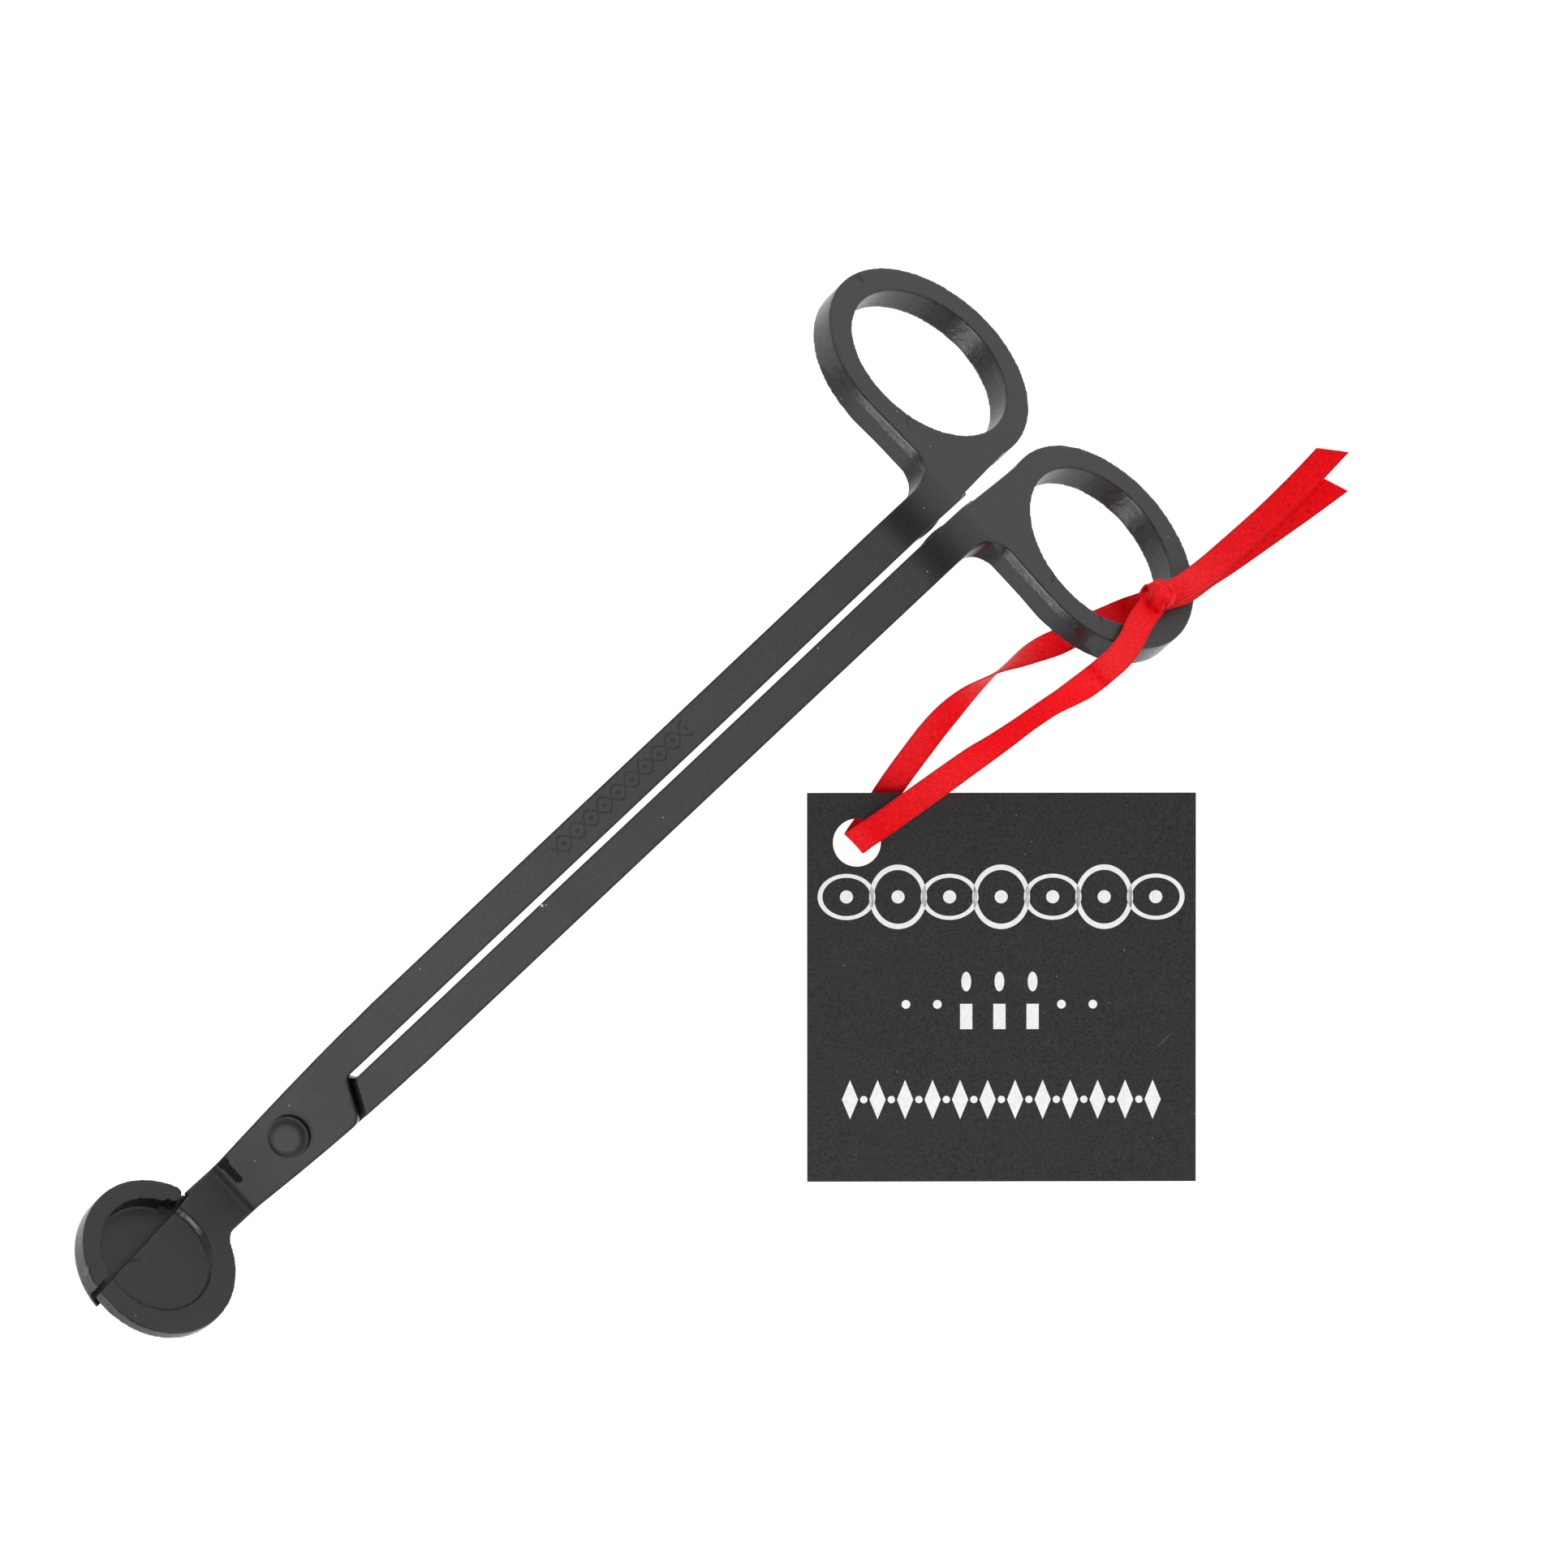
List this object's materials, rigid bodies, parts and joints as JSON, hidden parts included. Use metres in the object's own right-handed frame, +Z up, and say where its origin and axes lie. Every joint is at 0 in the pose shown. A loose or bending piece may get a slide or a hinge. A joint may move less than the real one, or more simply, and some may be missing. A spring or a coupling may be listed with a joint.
{
  "type": "wick trimmer",
  "caption": "Long-reach candle wick trimmer, bent at head and rings, two arms on one pivot rivet, with a blade closing on a cup, and a square card tag tied to one ring by a ribbon.",
  "frame": {"origin": "middle of the closed trimmer's footprint, on the surface it rests on", "axes": "+X along the shanks towards the finger rings, +Y towards the upper arm's ring, +Z up"},
  "size_m": [0.1687, 0.1021, 0.0262],
  "materials": {
    "black_steel": "satin black coating over forged steel",
    "rivet": "satin black coating, polished dome",
    "black_card": "matte black card printed in white",
    "red_satin": "woven satin ribbon"
  },
  "bodies": {
    "lower_body": {"lower_arm": "black_steel", "pivot_rivet": "rivet", "ribbon_loop": "red_satin", "ribbon_knot": "red_satin", "ribbon_tail_upper": "red_satin", "ribbon_tail_lower": "red_satin"},
    "upper_body": {"upper_arm": "black_steel"},
    "tag_body": {"hang_tag": "black_card"}
  },
  "joints": [
    {"name": "pivot", "type": "hinge", "parent": "lower_body", "child": "upper_body", "pos_m": [-0.04627, 0, 0.00193], "axis": [-0.2117, 0, 0.9773], "range_deg": [0, 35]},
    {"name": "tag_swing", "type": "hinge", "parent": "lower_body", "child": "tag_body", "pos_m": [0.02303, -0.01971, 0.0015], "axis": [0.0008, -0.0244, 0.9997], "range_deg": [-30, 8]}
  ]
}
